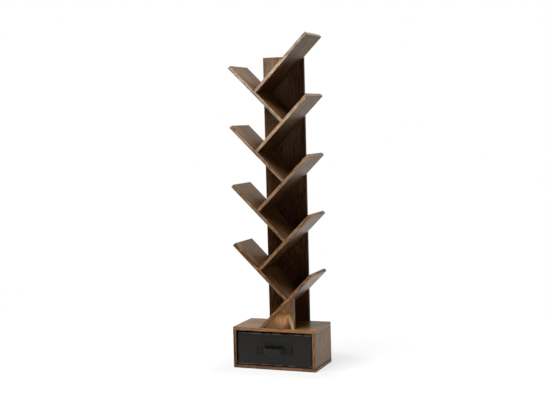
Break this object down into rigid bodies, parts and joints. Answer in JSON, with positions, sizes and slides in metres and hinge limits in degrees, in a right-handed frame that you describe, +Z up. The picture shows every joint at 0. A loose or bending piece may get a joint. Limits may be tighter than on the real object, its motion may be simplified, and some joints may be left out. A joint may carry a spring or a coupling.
{
  "type": "tree shaped bookshelf",
  "caption": "Tree shaped bookshelf of slanting boards that stand on each other in a zigzag, on a low cabinet with a pull-out fabric drawer.",
  "frame": {"origin": "middle of the cabinet's underside, at floor level", "axes": "+Z up the trunk, +X to the right and -Y to the front, where the drawer is pulled out"},
  "size_m": [0.4, 0.2475, 1.5176],
  "materials": {
    "shelf_board": "rustic brown woodgrain laminate, satin",
    "trunk_board": "rustic brown woodgrain laminate, satin",
    "cabinet_board": "rustic brown woodgrain laminate, satin",
    "back_board": "thin fibreboard, matt",
    "drawer_fabric": "charcoal woven fabric over board",
    "handle_strap": "charcoal fabric strap, sewn down at both ends",
    "screw_steel": "zinc plated"
  },
  "bodies": {
    "frame": {"base_floor": "cabinet_board", "base_top": "cabinet_board", "base_left_side": "cabinet_board", "base_right_side": "cabinet_board", "base_back": "back_board", "trunk_lower": "trunk_board", "trunk_upper": "trunk_board", "front_brace": "shelf_board", "right_shelf_1": "shelf_board", "right_shelf_2": "shelf_board", "right_shelf_3": "shelf_board", "right_shelf_4": "shelf_board", "right_shelf_5": "shelf_board", "left_shelf_1": "shelf_board", "left_shelf_2": "shelf_board", "left_shelf_3": "shelf_board", "left_shelf_4": "shelf_board", "base_left_side_screw_front": "screw_steel", "base_left_side_screw_rear": "screw_steel", "base_right_side_screw_front": "screw_steel", "base_right_side_screw_rear": "screw_steel", "trunk_foot_screw_left": "screw_steel", "trunk_foot_screw_right": "screw_steel", "brace_foot_screw_left": "screw_steel", "brace_foot_screw_right": "screw_steel", "brace_shelf_screw": "screw_steel", "right_shelf_1_trunk_screw_low": "screw_steel", "right_shelf_1_trunk_screw_high": "screw_steel", "left_shelf_1_foot_screw_front": "screw_steel", "left_shelf_1_foot_screw_rear": "screw_steel", "left_shelf_1_trunk_screw_middle": "screw_steel", "right_shelf_2_foot_screw_front": "screw_steel", "right_shelf_2_foot_screw_rear": "screw_steel", "right_shelf_2_trunk_screw_middle": "screw_steel", "left_shelf_2_foot_screw_front": "screw_steel", "left_shelf_2_foot_screw_rear": "screw_steel", "left_shelf_2_trunk_screw_middle": "screw_steel", "right_shelf_3_foot_screw_front": "screw_steel", "right_shelf_3_foot_screw_rear": "screw_steel", "right_shelf_3_trunk_screw_low": "screw_steel", "right_shelf_3_trunk_screw_high": "screw_steel", "left_shelf_3_foot_screw_front": "screw_steel", "left_shelf_3_foot_screw_rear": "screw_steel", "left_shelf_3_trunk_screw_middle": "screw_steel", "right_shelf_4_foot_screw_front": "screw_steel", "right_shelf_4_foot_screw_rear": "screw_steel", "right_shelf_4_trunk_screw_middle": "screw_steel", "left_shelf_4_foot_screw_front": "screw_steel", "left_shelf_4_foot_screw_rear": "screw_steel", "left_shelf_4_trunk_screw_middle": "screw_steel", "right_shelf_5_foot_screw_front": "screw_steel", "right_shelf_5_foot_screw_rear": "screw_steel", "right_shelf_5_trunk_screw_middle": "screw_steel"},
    "drawer": {"drawer_front": "drawer_fabric", "drawer_rear": "drawer_fabric", "drawer_left_side": "drawer_fabric", "drawer_right_side": "drawer_fabric", "drawer_floor": "drawer_fabric", "drawer_rim_binding": "drawer_fabric", "drawer_handle_strap": "handle_strap"}
  },
  "joints": [
    {"name": "drawer_slide", "type": "slide", "parent": "frame", "child": "drawer", "axis": [0, -1, 0], "range_m": [0, 0.21]}
  ]
}
